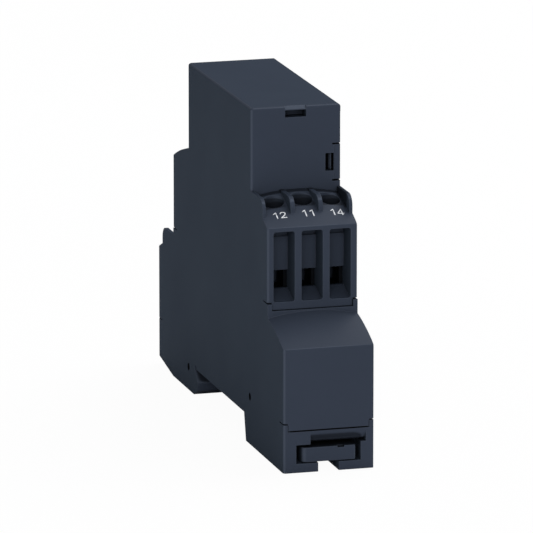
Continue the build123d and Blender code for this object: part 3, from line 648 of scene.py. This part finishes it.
def printNumber(text, blockName, screwName, side, shift, name):
    blockLow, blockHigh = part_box(blockName)
    screwLow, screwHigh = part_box(screwName)
    middleX = (screwLow[0] + screwHigh[0]) / 2
    wallY = blockHigh[1] if side < 0 else blockLow[1]
    piece = joinStrokes(text)
    piece.name = name
    piece.scale = (1, math.cos(math.radians(numbers["slope"])), 1)
    piece.rotation_euler = (0, 0, 0 if side < 0 else math.pi)
    startZ = blockHigh[2] + numbers["startAbove"]
    piece.location = (middleX + shift, wallY + side * numbers["fromWall"], startZ)
    bpy.ops.object.transform_apply(location=True, rotation=True, scale=True)
    bpy.ops.object.mode_set(mode="EDIT")
    bpy.ops.mesh.select_all(action="SELECT")
    bpy.ops.mesh.remove_doubles(threshold=numbers["weld"])
    bpy.ops.object.mode_set(mode="OBJECT")
    wrap = piece.modifiers.new("onLabel", "SHRINKWRAP")
    wrap.target = nodes[blockName]
    wrap.wrap_method = "PROJECT"
    wrap.use_project_z = True
    wrap.use_negative_direction = True
    wrap.use_positive_direction = False
    wrap.offset = numbers["lift"]
    ink = piece.modifiers.new("ink", "SOLIDIFY")
    ink.thickness = numbers["thickness"]
    ink.offset = 1.0
    applyModifiers(piece)
    piece.data.materials.append(numberMaterial)
    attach(piece, "relay_body")


for end, side in (("near", -1), ("far", 1)):
    for place, text in zip(places, numbers[end]):
        shift = numbers["nearShift"][place] if side < 0 else 0
        screwName = f"terminal_screw_{end}_{place}"
        printNumber(text, f"terminal_block_{end}", screwName, side, shift, f"number_{end}_{place}")
print("stage 4: terminal numbers printed")


# Floor, background and light: the camera sees both as white, while the part sees grey paper and a soft sky
studio = {
    "floorSize": 6.0,
    "floorColour": (226, 226, 228),
    "white": (1, 1, 1, 1),
    "whiteShare": 0.96,
    "whiteLight": 1.0,
    "worldLight": 0.4,
}
bpy.ops.mesh.primitive_plane_add(size=studio["floorSize"], location=(0, 0, cadBox[0][2]))
floor = bpy.context.object
floor.name = "floor"
floorMaterial = bpy.data.materials.new("floorPaper")
floorTree = emptyTree(floorMaterial)
floorPath = addNode(floorTree, "ShaderNodeLightPath", (-300, 200)).outputs
floorShare = addMath(floorTree, "MULTIPLY", (100, 150), floorPath["Is Camera Ray"], studio["whiteShare"])
paperLook = {"Color": srgbToLinear(*studio["floorColour"])}
floorPaper = addNode(floorTree, "ShaderNodeBsdfDiffuse", (100, -100), paperLook).outputs["BSDF"]
whiteLook = {"Color": studio["white"], "Strength": studio["whiteLight"]}
floorWhite = addNode(floorTree, "ShaderNodeEmission", (100, -250), whiteLook).outputs["Emission"]
floorSurface = addShaderMix(floorTree, (400, 0), floorShare, floorPaper, floorWhite)
addNode(floorTree, "ShaderNodeOutputMaterial", (600, 0), {"Surface": floorSurface})
floor.data.materials.append(floorMaterial)

world = bpy.data.worlds.new("studioWorld")
bpy.context.scene.world = world
worldTree = emptyTree(world)
worldPath = addNode(worldTree, "ShaderNodeLightPath", (-300, 200)).outputs
seenRays = (worldPath["Is Camera Ray"], worldPath["Is Transmission Ray"])
worldSeen = addMath(worldTree, "MAXIMUM", (0, 200), *seenRays)
softLook = {"Color": studio["white"], "Strength": studio["worldLight"]}
worldSoft = addNode(worldTree, "ShaderNodeBackground", (100, 0), softLook).outputs["Background"]
worldWhite = addNode(worldTree, "ShaderNodeBackground", (100, -150), whiteLook).outputs["Background"]
worldSurface = addShaderMix(worldTree, (400, 0), worldSeen, worldSoft, worldWhite)
addNode(worldTree, "ShaderNodeOutputWorld", (600, 0), {"Surface": worldSurface})

lamps = {
    "overhead": {"place": (0.42, 0.24, 0.88), "aim": (0, 0, 0.03), "size": 0.8, "power": 9.4},
    "frontFill": {"place": (-0.25, -1.05, 0.35), "aim": (0, 0, 0.03), "size": 0.7, "power": 5.4},
}
for lampName, lamp in lamps.items():
    bpy.ops.object.light_add(type="AREA", location=lamp["place"])
    light = bpy.context.object
    light.name = lampName
    light.data.size = lamp["size"]
    light.data.energy = lamp["power"]
    toward = Vector(lamp["aim"]) - Vector(lamp["place"])
    light.rotation_euler = toward.to_track_quat("-Z", "Y").to_euler()
print("stage 5: floor and lights set")
